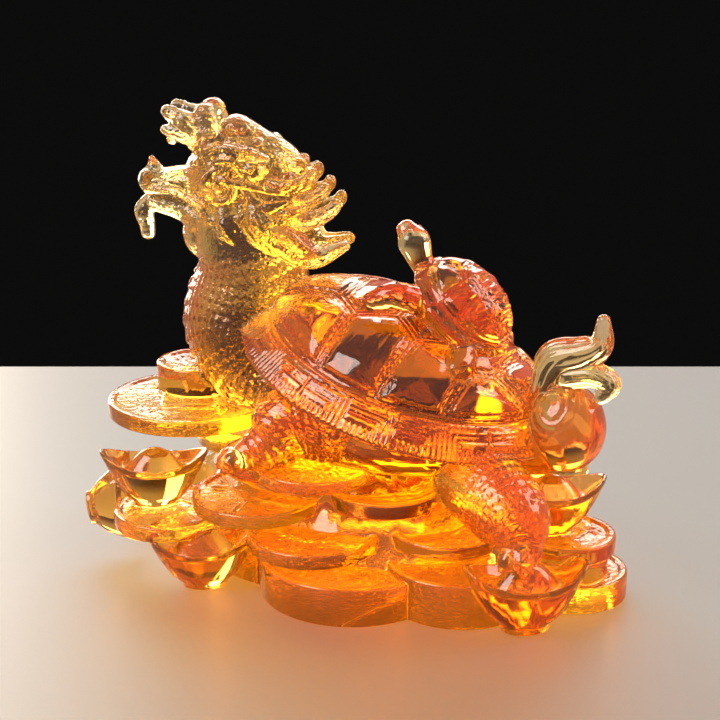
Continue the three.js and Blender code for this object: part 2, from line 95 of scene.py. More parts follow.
# A tapering limb with rounded ends. Each size is (half width across, half depth) or one number for
# both, and the relief gives its lift by the way along, the angle and the mean radius.
def limb(points, sizes, sides=28, steps=36, relief=None, bluntness=0.8, across=(0, 1, 0)):
    t = np.linspace(0, 1, steps + 1)
    middle = smoothPath(points, t)
    pairs = [size if isinstance(size, (tuple, list)) else (size, size) for size in sizes]
    size = smoothPath([(w, d, 0) for w, d in pairs], t)
    tangent = smoothPath(points, np.minimum(t + 1e-3, 1)) - smoothPath(points, np.maximum(t - 1e-3, 0))
    tangent /= np.linalg.norm(tangent, axis=1)[:, None]
    cap = np.radians([72, 54, 36, 18])  # rings of the round ends
    before = [(0, math.cos(f), -math.sin(f)) for f in cap]
    after = [(steps, math.cos(f), math.sin(f)) for f in cap[::-1]]
    rows = before + [(k, 1, 0) for k in range(steps + 1)] + after
    pick = np.array([k for k, _, _ in rows])
    shrink = np.array([s for _, s, _ in rows])[:, None]
    reach = np.array([r for _, _, r in rows])[:, None]
    size, tangent = size[pick], tangent[pick]
    blunt = bluntness * np.minimum(size[:, :1], size[:, 1:2])
    middle = middle[pick] + tangent * blunt * reach
    wide = np.array(across, float) - tangent * (tangent @ np.array(across, float))[:, None]
    wide /= np.linalg.norm(wide, axis=1)[:, None]
    deep = np.cross(tangent, wide)
    along = np.concatenate([[0], np.cumsum(np.linalg.norm(np.diff(middle, axis=0), axis=1))])
    angle = 2 * np.pi * (np.arange(sides) + 0.5) / sides
    cos, sin = np.cos(angle), np.sin(angle)
    half = size * shrink
    out = wide[:, None] * (cos[:, None] / half[:, None, :1])
    out = out + deep[:, None] * (sin[:, None] / half[:, None, 1:2])
    out /= np.linalg.norm(out, axis=2)[:, :, None]
    rings = middle[:, None] + wide[:, None] * (half[:, None, :1] * cos[:, None])
    rings = rings + deep[:, None] * (half[:, None, 1:2] * sin[:, None])
    if relief:
        radius = (size[:, :1] + size[:, 1:2]) / 2
        lift = relief(along[:, None] + 0 * angle, angle + 0 * along[:, None], radius + 0 * angle)
        rings = rings + out * (lift * shrink)[:, :, None]
    tip = 0.05 * blunt[[0, -1]]
    return skin(rings, middle[0] - tangent[0] * tip[0], middle[-1] + tangent[-1] * tip[1])


def blob(centre, radii, sides=40, rows=24):
    polar = np.pi * np.arange(1, rows) / rows
    angle = 2 * np.pi * np.arange(sides) / sides
    rings = np.stack([
        np.outer(np.sin(polar), np.cos(angle)),
        np.outer(np.sin(polar), np.sin(angle)),
        -np.outer(np.cos(polar), np.ones(sides)),
    ], 2)
    centre, radii = np.array(centre, float), np.array(radii, float)
    down = np.array([0, 0, radii[2]])
    return skin(rings * radii + centre, centre - down, centre + down)


# A turned form from (radius, height) pairs that start and end on the axis.
def turned(profile, sides=72):
    profile = np.array(profile, float)
    angle = 2 * np.pi * np.arange(sides) / sides
    inner = profile[1:-1]
    rings = np.stack([
        np.outer(inner[:, 0], np.cos(angle)),
        np.outer(inner[:, 0], np.sin(angle)),
        np.outer(inner[:, 1], np.ones(sides)),
    ], 2)
    return skin(rings, [0, 0, profile[0, 1]], [0, 0, profile[-1, 1]])


# A shallow stroke that lies flat, as one cut with a round chisel.
def bar(centre, length, width, height, heading):
    a = math.radians(heading)
    way = np.array([math.cos(a), math.sin(a), 0]) * (length / 2)
    centre = np.array(centre, float)
    across = (-math.sin(a), math.cos(a), 0)
    return limb([centre - way, centre + way], [(width / 2, height)] * 2, 10, 4, bluntness=1, across=across)


def moved(form, matrix):
    matrix = np.array(matrix)
    return form[0] @ matrix[:3, :3].T + matrix[:3, 3], form[1]


def asGiven(points):
    return list(points)


def mirrored(points):
    return [(x, -y, z) for x, y, z in points]


bothFlanks = (asGiven, mirrored)


# Reliefs

# 0 on a line's crest and 1 in the groove beside it.
def wave(distance, pitch):
    return 0.5 - 0.5 * np.cos(2 * np.pi * distance / pitch)


def ease(x, low, high):
    s = np.clip((x - low) / (high - low), 0, 1)
    return s * s * (3 - 2 * s)


# Overlapping scales, whose free edges point towards greater along. Each is a little longer and wider
# than its place, so that it covers the start of its neighbours.
def scales(along, around, length, width, lift):
    best = np.zeros_like(along)
    found = np.zeros(along.shape, bool)
    first = np.floor(along / length)
    for step in (-1, 0, 1):
        row = first + step
        shift = 0.5 * np.mod(row, 2)
        centre = (np.round(around / width - shift) + shift) * width
        a = (along - row * length) / (1.25 * length)
        b = (around - centre) / (0.62 * width)
        inside = (np.hypot(a, b) < 1) & ~found
        rise = np.clip((a + 0.25) / 1.25, 0, 1)
        best = np.where(inside, lift * rise * (1 - 0.25 * b * b), best)
        found |= inside
    return best


def scaly(scale, share=1):
    length, width, lift = scale

    def relief(along, angle, radius):
        return share * (scales(along, angle * radius, length, width, lift) - 0.5 * lift)
    return relief


# Long round-bottomed grooves, as in hair or a fin.
def grooved(count, depth):
    def relief(along, angle, radius):
        return -depth * (0.5 - 0.5 * np.cos(angle * count)) ** 2
    return relief


# The shell and its plates, which the young turtle's shell repeats

shell = {
    "length": 74, "width": 62, "height": 17.5, "rim": (12, 0, 45.7), "pitch": 17.5,
    "droop": 2.5, "band": 6.6, "bandShare": 0.85, "belly": 7,
    "plate": 0.6, "bulge": 0.5,  # how far a plate stands up, and how far its middle swells
    "line": 0.98, "lines": 3, "depth": 0.68,  # engraved lines of a seam: spacing, number and depth
    "hatch": 1.12, "hatches": 3, "hatchDepth": 0.5,  # nested strokes on the rim plates
    "rings": 200, "sides": 680,
}
young = {
    **shell, "length": 26.5, "width": 24.5, "height": 9, "rim": (26.3, 0, 62.85), "pitch": 44,
    "droop": 0.6, "band": 2.2, "belly": 6.3, "plate": 0.3, "bulge": 0.35,
    "line": 0.9, "depth": 0.4, "hatchDepth": 0,  # its rim is too narrow for strokes
    "rings": 90, "sides": 300,
}
seams = {
    "spine": (-0.41, -0.05, 0.3, 0.6), "flank": (-0.26, 0.13, 0.48),
    "narrow": 0.28, "wide": 0.43, "edge": 0.83, "rimPlates": 20,
}


# Height over the rim's plane at the share q of the way out: a low dome with steep flanks, then the band.
def shellHeight(spec, q):
    start = spec["bandShare"]
    dome = spec["band"] + (spec["height"] - spec["band"]) * (1 - np.minimum(1, q / start) ** 2.3) ** 0.62
    band = spec["band"] * (1 - q) / (1 - start)
    return np.where(q >= start, band, dome)


# The seams between the plates, in shares of the shell's half length and width.
def seamLines():
    spine, flank = seams["spine"], seams["flank"]
    narrow, wide, edge = seams["narrow"], seams["wide"], seams["edge"]
    lines = [((u, -narrow), (u, narrow)) for u in spine]
    for side in (-1, 1):
        lines.append(((spine[0], side * narrow), (-edge * 1.02, side * 0.22)))
        lines.append(((spine[3], side * narrow), (edge * 1.02, side * 0.2)))
        for i, u in enumerate(flank):
            lines.append(((spine[i], side * narrow), (u, side * wide)))
            lines.append(((u, side * wide), (spine[i + 1], side * narrow)))
            reach = 1.03 * math.sqrt(edge**2 - u * u)
            lines.append(((u, side * wide), (u, side * reach)))
    return lines


def distanceTo(points, lines):
    nearest = np.full(len(points), 1e9)
    for a, b in lines:
        along = b - a
        share = np.clip(((points - a) @ along) / (along @ along), 0, 1)
        nearest = np.minimum(nearest, np.linalg.norm(points - a - share[:, None] * along, axis=1))
    return nearest


def halfSeam(spec):
    return spec["line"] * spec["lines"] / 2


# 1 between the outer lines of a seam and 0 on the plates beside it.
def withinSeam(spec, gap):
    return 1 - ease(gap, halfSeam(spec) - 0.1, halfSeam(spec) + 0.22)


# The dome's relief: plates that swell a little, with parallel lines engraved in each seam.
def domeLift(spec, gap):
    seam = withinSeam(spec, gap)
    groove = wave(gap + (0 if spec["lines"] % 2 else spec["line"] / 2), spec["line"])
    plateTop = spec["plate"] + spec["bulge"] * ease(gap, halfSeam(spec), halfSeam(spec) + 5)
    return plateTop * (1 - seam) + (0.45 * spec["plate"] - spec["depth"] * groove) * seam


# The rim plates' relief: strokes nested round one corner, and a comb of short ones below them.
def rimLift(spec, fromRing, bandWidth, angle):
    turn = angle / (2 * np.pi) * seams["rimPlates"]
    cell = np.floor(turn).astype(int)
    width = np.pi * (spec["length"] + spec["width"]) / 2 / seams["rimPlates"]
    inCell = (turn - cell)[None, :] * width + 0 * fromRing
    side = np.minimum(inCell, width - inCell)
    below = fromRing - 0.7 * halfSeam(spec)
    border = np.minimum(side, np.minimum(below, bandWidth - fromRing))
    otherWay = (cell % 4 == 1)[None, :]  # the strokes of one plate in four
    corner = np.where(otherWay, inCell, width - inCell)
    nested = np.minimum(corner, below * 1.15) - 0.5
    reach = spec["hatch"] * spec["hatches"]
    strokes = wave(nested, spec["hatch"]) * (1 - ease(nested, reach, reach + 0.2))
    low = ease(below, 0.52 * bandWidth, 0.56 * bandWidth) * (nested > reach)
    comb = wave(width - corner, spec["hatch"]) * low
    cut = np.maximum(strokes, comb) * ease(border, 0.35, 0.7)
    return spec["plate"] - spec["hatchDepth"] * cut - spec["depth"] * (1 - ease(side, 0.1, 0.42))


# The shell with its plates, their seams and the hatched rim, as one fine skin.
def shellForm(spec):
    half = np.array([spec["length"], spec["width"]]) / 2
    mean = half.mean()
    start = spec["bandShare"]
    q = np.linspace(0, 1, spec["rings"])[1:]
    angle = 2 * np.pi * np.arange(spec["sides"]) / spec["sides"]
    height = shellHeight(spec, q)
    arc = np.cumsum(np.hypot(np.diff(q, prepend=0) * mean, np.diff(height, prepend=spec["height"])))
    uv = np.stack([np.outer(q, np.cos(angle)), np.outer(q, np.sin(angle))], 2)
    flat = (uv / q[:, None, None] * arc[:, None, None] * half / mean).reshape(-1, 2)

    def unrolled(p):
        r = math.hypot(*p)
        return np.array(p) / r * np.interp(r, q, arc) * half / mean

    pieces = []
    for a, b in seamLines():
        a, b = np.array(a), np.array(b)
        path = [unrolled(a + (b - a) * s) for s in np.linspace(0, 1, 6)]
        pieces += list(zip(path, path[1:]))
    seam = distanceTo(flat, pieces).reshape(len(q), len(angle))
    ringAt = np.interp(start, q, arc)
    fromRing = arc[:, None] - ringAt + 0 * seam
    ring = withinSeam(spec, fromRing)
    dome = domeLift(spec, np.minimum(seam, np.abs(fromRing)))
    rim = rimLift(spec, fromRing, arc[-1] - ringAt, angle)
    rim = rim * (1 - ring) + domeLift(spec, np.abs(fromRing)) * ring
    lift = np.where(fromRing < 0, dome, rim) * (1 - ease(q, 0.985, 1))[:, None]
    out = np.stack([-np.gradient(height, q * mean), np.ones(len(q))], 1)
    out /= np.linalg.norm(out, axis=1)[:, None]
    x = q[:, None] * half[0] * np.cos(angle) + lift * out[:, :1] * np.cos(angle)
    y = q[:, None] * half[1] * np.sin(angle) + lift * out[:, :1] * np.sin(angle)
    z = height[:, None] + lift * out[:, 1:] - spec["droop"] * (q[:, None] * np.sin(angle)) ** 2
    top = np.stack([x, y, z], 2)
    belly = spec["belly"]
    # the underside's rings, each a share of the rim and its drop
    under = [
        np.stack([share * half[0] * np.cos(angle), share * half[1] * np.sin(angle),
                  drop - spec["droop"] * (share * np.sin(angle)) ** 2], 1)
        for share, drop in (
            (0.35, -0.95 * belly), (0.7, -0.75 * belly), (0.93, -0.17 * belly), (0.985, -0.05 * belly))
    ]
    crown = spec["height"] + spec["plate"] + spec["bulge"]
    return skin(np.concatenate([np.stack(under), top[::-1]]), [0, 0, -belly], [0, 0, crown])


def shellPlace(spec):
    return Matrix.Translation(spec["rim"]) @ Matrix.Rotation(math.radians(spec["pitch"]), 4, "Y")


# The turtle's body, legs and tail, measured from the middle of its rim

turtle = {
    "neckScale": (2.2, 1.9, 0.85),  # length, width and lift of a scale, in mm
    "legScale": (1.7, 1.6, 0.62),
    "scute": (3.3, 3.6, 1.0),  # beads down the throat
    "neck": [(-38, 0, 32), (-36, 0, 20), (-38.4, 0, 8), (-32, 0, -3), (-16, 0, -4)],
    "neckSizes": [(11, 12), (11.5, 12.4), (13.6, 13.8), (12.5, 10.5), (12, 10)],
    "foreLeg": [(-8.6, -15, -5.7), (-17, -21, -6.6), (-19.8, -24.5, -10.4), (-23.3, -28, -12.3)],
    "foreSizes": [9.9, 7.6, 5.7, 3.4],
    "hindLeg": [(21, -12, -16.3), (28.7, -17, -16.6), (35, -21.5, -20.1), (37.5, -24.5, -24.3)],
    "hindSizes": [7.5, 8.5, 7.5, 4.6],
    "stride": 5.9,  # the far legs stand a stride forward of the near ones
    "farLeg": 0.4,  # share of the scales' lift on the far legs, which the photograph doesn't show
    "toe": [(1, 0.2), (3.2, 0.4), (4.8, 1.6), (5.8, 2.4)],  # reach and drop from the foot
    "toeSizes": [2.3, 2.3, 1.9, 0.9],
    "toeSpread": 44,
}


def fromRim(points):
    x, y, z = shell["rim"]
    return [(x + a, y + b, z + c) for a, b, c in points]


# Scales on the neck's sides, and a double row of beads down its front. Both start below the jaw.
def neckRelief(along, angle, radius):
    length, width, lift = turtle["scute"]
    around = np.abs((angle - 1.5 * np.pi) * radius)
    bead = np.sqrt(np.clip(1 - ((np.mod(along, length) / length - 0.5) / 0.52) ** 2
                           - ((around - width / 2) / (0.55 * width)) ** 2, 0, 1))
    onFront = (1 - ease(around, 1.0 * width, 1.15 * width)) * ease(along, 14, 17)
    side = scaly(turtle["neckScale"])(along + 0.18 * around, angle, radius) * ease(along, 13, 18)
    return side * (1 - onFront) + lift * bead * onFront


def bodyForms():
    belly = blob(fromRim([(0, 0, -8.8)])[0], (shell["length"] * 0.42, shell["width"] * 0.36, 11))
    return [belly, limb(fromRim(turtle["neck"]), turtle["neckSizes"], 300, 220, neckRelief)]


# Three claws round a heading in degrees, where 0 is straight out from the flank and -90 is towards -X.
def toes(flank, foot, heading):
    forms = []
    for spread in (-turtle["toeSpread"], 0, turtle["toeSpread"]):
        a = math.radians(heading + spread)
        ((dx, dy, _),) = flank([(math.sin(a), -math.cos(a), 0)])
        points = [(foot[0] + dx * r, foot[1] + dy * r, foot[2] - d) for r, d in turtle["toe"]]
        forms.append(limb(points, turtle["toeSizes"], 24, 16))
    return forms


def legForms():
    forms = []
    for far, flank in enumerate(bothFlanks):
        for leg, sizes, heading in (("foreLeg", "foreSizes", -70), ("hindLeg", "hindSizes", -20)):
            points = flank(fromRim([(x - far * turtle["stride"], y, z) for x, y, z in turtle[leg]]))
            relief = scaly(turtle["legScale"], turtle["farLeg"] if far else 1)
            forms.append(limb(points, turtle[sizes], 200, 120, relief, bluntness=0.9))
            forms += toes(flank, points[-1], heading)
    return forms


tail = {
    "bulb": (38.3, 0, -5.8), "bulbSize": (8.5, 8.5, 9.5),
    "root": [(20, 0, -8), (32.7, 0, -9.3), (38.3, 0, -5.8)], "rootSizes": [(8.5, 7), (8, 7.5), 6],
    "scroll": (36.8, 0, 0.2),
    "scrollPitch": 1.9, "scrollDepth": 0.26,  # curled lines on the bulb
    "plume": [(33, 0, 2), (36, 0, 8.5), (41, 0, 10.5), (45, 0, 13), (45.5, 0, 18.5)],
    "plumeSizes": [(3.2, 3), (3.6, 4.6), (3.2, 4), (2.4, 2.8), (1.4, 1.4)],
    "lobe": [(38.5, 0, 5.6), (44.1, 0, 6.5), (47.4, 0, 4.8), (45.6, 0, 1.9)],
    "lobeSizes": [(3.2, 3), (3, 2.8), (2.7, 2.4), (2.0, 1.7)],
    "ribs": 11, "ribDepth": 0.35,
}


def bulbForm():
    (centre,) = np.array(fromRim([tail["bulb"]]))
    (scroll,) = np.array(fromRim([tail["scroll"]]))
    places, faces = blob(centre, tail["bulbSize"], 160, 110)
    x, z = places[:, 0] - scroll[0], places[:, 2] - scroll[2]
    way = np.hypot(x, z)
    turns = np.arctan2(z, x) / (2 * np.pi)  # the lines wind outwards as one spiral
    cut = tail["scrollDepth"] * wave(way - turns * tail["scrollPitch"], tail["scrollPitch"]) ** 2
    cut = cut * ease(way, 0.6, 1.6) * (1 - ease(way, 5.4, 6.8))
    out = places - centre
    out /= np.linalg.norm(out, axis=1)[:, None]
    return places - out * cut[:, None], faces


def tailForms():
    ribs = grooved(tail["ribs"], tail["ribDepth"])
    return [
        bulbForm(),
        limb(fromRim(tail["root"]), tail["rootSizes"], 60, 30),
        limb(fromRim(tail["plume"]), tail["plumeSizes"], 120, 60, ribs),
        limb(fromRim(tail["lobe"]), tail["lobeSizes"], 90, 40, ribs),
    ]


# The dragon's head, in its own axes: the origin is inside its jaw, and -X is forward

head = {"at": (-28, 0, 84), "turn": 18}


def headForm():
    skull = blob((2.5, 0, 3), (14, 10.5, 10.5))
    snout = limb([(2, 0, 3.5), (-7, 0, 2.4), (-14, 0, 2), (-19.4, 0, 1.4)],
                 [(9, 5.5), (6.5, 3.6), (5, 3), (4.6, 2.6)], 48, 40)
    jaw = limb([(5, 0, -10), (-5, 0, -7.4), (-11.5, 0, -4), (-18.4, 0, -2.6)],
               [(10, 9), (8, 6), (4.8, 3.3), (3.8, 2.3)], 48, 40)
    throat = blob((-5.4, 0, -9.6), (6.9, 6.5, 6.6))
    nose = blob((-19.6, 0, 2.2), (2.4, 4.8, 2.6))
    noseHorn = limb([(-18.2, 0, 3.6), (-18.6, 0, 5.4), (-19, 0, 6.9)], [2.3, 1.5, 0.6], steps=12)
    beard = limb([(-18.4, 0, -2), (-21, 0, -5), (-20.6, 0, -8), (-20.4, 0, -10.4)],
                 [(2.4, 2), (2.6, 2.3), (2.1, 1.8), (1.7, 1.6)], 48, 36, grooved(4, 0.3))
    crest = limb([(-2.6, 0, 10), (0, 0, 13.6), (5, 0, 11.6), (10, 0, 8.6), (13.4, 0, 4.6)],
                 [(3.6, 3), (4.4, 3.2), (4.4, 2.6), (4, 2.6), (3, 2)], 40, 36)
    knobs = [blob((x, y, z), (r, r, 0.95 * r), 24, 14) for x, y, z, r in (
        (0.4, 0, 15.4, 1.6), (2.6, 2.8, 13.6, 1.7), (2.6, -2.8, 13.6, 1.7), (4.6, 0, 13.2, 1.8),
        (5.8, -4.6, 11, 1.7), (5.8, 4.6, 11, 1.7), (8.6, -1.6, 11, 1.7), (8.6, 2.4, 11, 1.7),
        (9.2, -5.6, 8.6, 1.6), (9.2, 5.6, 8.6, 1.6), (11.8, -1.4, 8.8, 1.6), (12.2, -4.6, 6.6, 1.5),
        (12.2, 4.6, 6.6, 1.5), (0.6, -6.2, 11.4, 1.6), (0.6, 6.2, 11.4, 1.6),
    )]
    return [skull, snout, jaw, throat, nose, noseHorn, beard, crest, *knobs]


def headPair(side):
    eye = blob(side([(-0.2, -9, 6.1)])[0], (2.6, 2.2, 2.1), 32, 20)
    lid = limb(side([(-3.6, -8.4, 4.6), (-1.8, -10.2, 8.2), (1.6, -10.8, 8.2), (3.6, -10.2, 5.2)]),
               [0.6, 0.95, 0.95, 0.6], 16, 28)
    brow = limb(side([(-7, -6, 7), (-2, -8.6, 10.2), (4, -10, 9.8), (9, -10.5, 8.8)]),
                [1.3, 1.9, 1.7, 0.9], 36, 36, grooved(5, 0.4))
    lip = limb(side([(-19.6, -3.6, 0.6), (-13, -5.6, 0.6), (-6.6, -8.2, -2), (-3, -9.8, -5),
                     (2, -10.6, -3.4)]),
               [0.9, 1.1, 1.3, 1.4, 1], 24, 50, grooved(2, 0.35))
    ridge = limb(side([(-5.4, -7.4, 11), (-4.2, -8.4, 7.4), (-2.4, -9.6, 5), (0.4, -10.6, 3.8),
                       (4.2, -11, 3.2), (9.4, -10.6, 2), (13.2, -9.4, 1.2)]),
                 [1.3, 1.2, 1, 1, 1, 1, 0.6], 24, 60, grooved(2, 0.4))
    jawBone = limb(side([(3.6, -10.4, 2.4), (5.6, -10.9, 0.2), (4.6, -10.9, -2.8), (1.5, -10.6, -4.6),
                         (-2.6, -9.8, -5)]),
                   [0.7, 1.2, 1.3, 1.1, 0.7], 24, 50, grooved(2, 0.3))
    temple = blob(side([(5.2, -8.8, 5.8)])[0], (3, 2.3, 2.6), 32, 20)
    nostril = blob(side([(-19.4, -3.6, 3.4)])[0], (1.5, 1.4, 1.3), 20, 14)
    face = [eye, lid, brow, lip, ridge, jawBone, temple, nostril]
    return [*face, *antler(side), *mane(side), cheekCurl(side)]


# A broad antler: a thick beam with a round end, a tine forward and a small forked spur below it.
def antler(side):
    def knotty(along, angle, radius):
        return 0.2 * np.sin(along * 1.9) * np.cos(angle * 3 + along * 0.8)

    beam = limb(side([(-2.6, -6, 5), (-4.4, -5.6, 11), (-5.6, -4.6, 15.6), (-5.6, -4.2, 17.8)]),
                [(3, 4), (2.8, 3.6), (2.7, 3.2), (2.5, 2.6)], 40, 40, knotty)
    fore = limb(side([(-4, -5.6, 10), (-9, -5, 14.8), (-14.2, -4.6, 18)]),
                [(2.6, 4.2), (2.4, 3), (1.4, 1.4)], 32, 30, knotty)
    spur = limb(side([(-7.4, -5.4, 12.4), (-12, -5, 13.4), (-14.6, -4.8, 13.9)]), [2.4, 1.9, 1.1], 28, 20)
    fork = blob(side([(-12.9, -5.2, 11.9)])[0], (1.2, 1.2, 1.2), 20, 12)
    return [beam, fore, spur, fork]


# A curl on the cheek, behind the corner of the mouth.
def cheekCurl(side):
    turns, bends = 1.4, 36
    points = []
    for i in range(bends + 1):
        t = i / bends
        a = 2 * math.pi * turns * t + math.pi / 2
        reach = 4.2 * (1 - 0.8 * t)
        points.append((-1.2 + reach * math.cos(a), -10 - 1.1 * t, 2.4 + reach * math.sin(a)))
    return limb(side(points), [0.95] * 24 + [0.75] * (bends - 23), 18, 100)


# Locks that sweep back from the cheek and the crown, each turned up at a round tip.
def mane(side):
    tips = [(15, -3, 7), (18, -4, 5), (20.6, -4.6, 2), (23, -5, -1.4)]
    locks = []
    for i, (x, y, z) in enumerate(tips):
        root = (4, y * 1.4, z * 0.5)
        bend = (root[0] + (x - root[0]) * 0.66, y * 1.6, z - 3 - i * 0.2)
        locks.append(limb(side([root, bend, (x - 0.2, y, z - 0.9), (x, y, z)]),
                          [(3.3, 3.1), (2.5, 2.2), (1.6, 1.5), (1.35, 1.3)], 40, 44, grooved(3, 0.3)))
    low = limb(side([(3, -8, -7), (12, -9, -9), (18, -7, -13), (25, -4, -11)]), [4, 4.2, 3, 1.4],
               56, 50, grooved(5, 0.5))
    fringe = [
        limb(side([(x, y * 0.7, z + 4), (x + 1, y, z), (x + 4, y - 0.6, z - 5)]), [3.4, 3.2, 1.2],
             40, 34, grooved(4, 0.45))
        for x, y, z in ((-1, -10, -6), (6, -11.5, -5))
    ]
    cheek = [
        limb(side([(x, y, z), (x + 4, y - 0.8, z - 0.6), (x + 8, y - 0.3, z + rise)]), [1.2, 1.5, 0.6],
             24, 26, grooved(2, 0.3))
        for x, y, z, rise in (
            (5, -10.2, -1, 0.6), (4.4, -10.4, -4, -0.6), (9, -9.4, -2.4, 0.8), (9, -9, 3.6, 1.4))
    ]
    return [*locks, low, *fringe, *cheek]


def headForms():
    place = Matrix.Translation(head["at"]) @ Matrix.Rotation(math.radians(head["turn"]), 4, "Z")
    forms = headForm() + [form for side in bothFlanks for form in headPair(side)]
    return [moved(form, place) for form in forms]


# The young turtle on the shell, in its own shell's axes.
def youngForms():
    length, width, height = young["length"], young["width"], young["height"]

    def share(points):
        return [(x * length, y * width, z * height) for x, y, z in points]

    neck = limb(share([(-0.3, 0, 0), (-0.49, 0, 0.02), (-0.66, 0, 0.22), (-0.79, 0, 0.3)]),
                [(3.2, 2.7), (2.8, 2.6), (3.8, 3.5), (2.4, 2)], 40, 36)
    eyes = [blob((-0.72 * length, y, 0.42 * height), (0.9, 0.8, 0.8), 16, 10) for y in (-2.5, 2.5)]
    feet = []
    for flank in bothFlanks:
        for points in (
            [(-0.22, -0.3, -0.24), (-0.4, -0.5, -0.42), (-0.5, -0.56, -0.88)],
            [(0.26, -0.3, -0.24), (0.36, -0.52, -0.42), (0.3, -0.62, -0.78)],
        ):
            line = flank(share(points))
            feet.append(limb(line, [3.1, 3, 1.9], 48, 26, scaly((1.6, 1.5, 0.3))))
            foot = line[-1]
            for reach in (-1.5, 0, 1.5):
                tip = (foot[0] + reach, foot[1] * 1.08, foot[2] - 1)
                feet.append(limb([foot, tip], [1.1, 0.7], 14, 6))
    tailTip = limb(share([(0.4, 0, -0.1), (0.52, 0, -0.18), (0.58, 0, -0.33)]), [1.6, 1.2, 0.6], steps=14)
    forms = [shellForm(young), neck, *eyes, *feet, tailTip]
    return [moved(form, shellPlace(young)) for form in forms]


# The heap of coins and ingots

treasure = {
    "rimWidth": 1.5, "rimDepth": 0.6,
    "stroke": 0.75, "strokeHeight": 0.38,  # short plain strokes on the coins
    # each coin in view: middle of its lower face, radius, thickness, lean, which way it leans
    "near": [
        ((-35, -10, 34.6), 19, 3.6, 0, 0), ((-38, -1.5, 38), 9.8, 3, 0, 0),
        ((-38, -1.5, 40), 9.8, 4, 0, 0),
        ((-34.5, -21, 12), 13, 3.6, 2, -30), ((-15.5, -15, 17), 14.8, 3.4, 2, -20),
        ((-1, -16, 27.4), 13.5, 3, 3, 10), ((-12, -12, 26), 13, 3, 0, 0),
        ((-0.6, -17.1, 11.4), 14.8, 3.4, 2, 0), ((6.4, -12.6, 0), 20.5, 8.6, 0, 0),
        ((10.6, -4, 19), 13.5, 4, 2, 0), ((25.8, -5, 12.6), 13, 3.4, 2, 0),
        ((51.2, 5.8, 0), 12, 6.2, 0, 0), ((50, 4, 6), 9.4, 6.4, 0, 0), ((50.5, 3, 11.4), 10.6, 4, 0, 0),
    ],
    # the plain ones at the far side and inside the heap
    "far": [
        ((30, -8, 0), 16, 10, 0, 0), ((-31, 14, 0), 16, 8, 0, 0), ((-2, 16, 0), 18, 8, 0, 0),
        ((25, 16, 0), 15, 7, 0, 0), ((-31, 14, 20), 15, 6, 3, 160), ((12, 19, 8), 15, 6, 4, 170),
        ((-6, 15, 22), 15, 6, 5, 190), ((34, 14, 8), 14, 6, 5, 150), ((-14, 18, 9), 15, 6, 4, 180),
        ((16, 17, 19), 13, 6, 4, 170),
    ],
    # each ingot: middle of its foot, length, lean, which way it leans, turn
    "ingots": [
        ((-39, -20.5, 14.4), 24.5, 0, 0, 28), ((-24, -25, -0.4), 25, 4, 0, 28),
        ((48, -16, 0), 27, 0, 0, 34), ((47, 2, 14.4), 24, 0, 0, 30),
        ((-57, -21, 11), 21, 80, 115, 25), ((-46, 10, 0), 24, 0, 0, 80),
        ((4, 27, 6.5), 24, 3, 180, 0), ((-42, 13, 20), 23, 4, 180, -28),
    ],
}
ingot = {"width": 0.6, "height": 0.423, "horn": 0.123, "dome": 0.154}  # shares of an ingot's length
heap = {"length": 120, "width": 68, "height": 40}


def lying(forms, at, lean=0, towards=0, turn=0):
    a = math.radians(towards)
    axis = Vector((math.cos(a), math.sin(a), 0))
    place = Matrix.Translation(at) @ Matrix.Rotation(math.radians(lean), 4, axis)
    place = place @ Matrix.Rotation(math.radians(turn), 4, "Z")
    return [moved(form, place) for form in forms]


def coinBlank(radius, thickness):
    rim, field = treasure["rimWidth"], thickness - treasure["rimDepth"]
    return turned([
        (0, 0), (radius - 0.5, 0), (radius - 0.12, 0.14), (radius, 0.6), (radius, thickness - 0.6),
        (radius - 0.14, thickness - 0.14), (radius - 0.6, thickness), (radius - rim + 0.2, thickness),
        (radius - rim - 0.1, thickness - 0.12), (radius - rim - 0.4, field), (0, field),
    ], 96)


# A raised square border in the middle, as on an old coin, and groups of short strokes around it.
def coinForms(radius, thickness):
    inRim, field = radius - treasure["rimWidth"], thickness - treasure["rimDepth"]
    high = treasure["strokeHeight"]
    inner, reach = inRim * 0.36, inRim * 0.68  # from the middle to the border and to the strokes
    forms = [coinBlank(radius, thickness)]
    for k in range(4):
        corner = math.radians(90 * k + 45)
        at = (inner * math.cos(corner), inner * math.sin(corner), field)
        forms.append(bar(at, 2 * inner, 0.8, high, 90 * k + 135))
        a = math.radians(90 * k)
        for j, (aside, length) in enumerate(((-1.4, 0.2), (0, 0.3), (1.4, 0.2))):
            x = reach * math.cos(a) - (aside - 0.2 * k) * math.sin(a)
            y = reach * math.sin(a) + (aside - 0.2 * k) * math.cos(a)
            heading = 90 * k + (90 if (j + k) % 3 == 0 else 0)
            forms.append(bar((x, y, field), inRim * length, treasure["stroke"], high, heading))
    return forms


# A boat-shaped ingot: a bowl on a foot ring, with raised ends and a dome in the middle.
def ingotForms(length):
    width, height, horn = ingot["width"], ingot["height"], ingot["horn"]
    dome = 1 + ingot["dome"] / height
    places, faces = turned([
        (0, 0), (0.42, 0), (0.455, 0.05), (0.44, 0.12), (0.5, 0.17), (0.68, 0.32), (0.84, 0.58),
        (0.95, 0.85), (1, 1), (0.975, 1.04), (0.93, 1.02), (0.8, 0.9), (0.68, 0.83), (0.6, 0.86),
        (0.53, 0.98), (0.44, 1.11),
        (0.3, 1.25), (0.15, dome - 0.03), (0, dome),
    ], 96)
    q = np.hypot(places[:, 0], places[:, 1])
    ends = (np.abs(places[:, 0]) / np.maximum(q, 1e-9)) ** 3 * np.maximum(0, q - 0.45) ** 1.5
    x = places[:, 0] * (0.88 + 0.3 * ends) / 2
    y = places[:, 1] * width / 2
    z = places[:, 2] * height + 2.45 * horn * ends
    return [(np.stack([x, y, z], 1) * length, faces)]


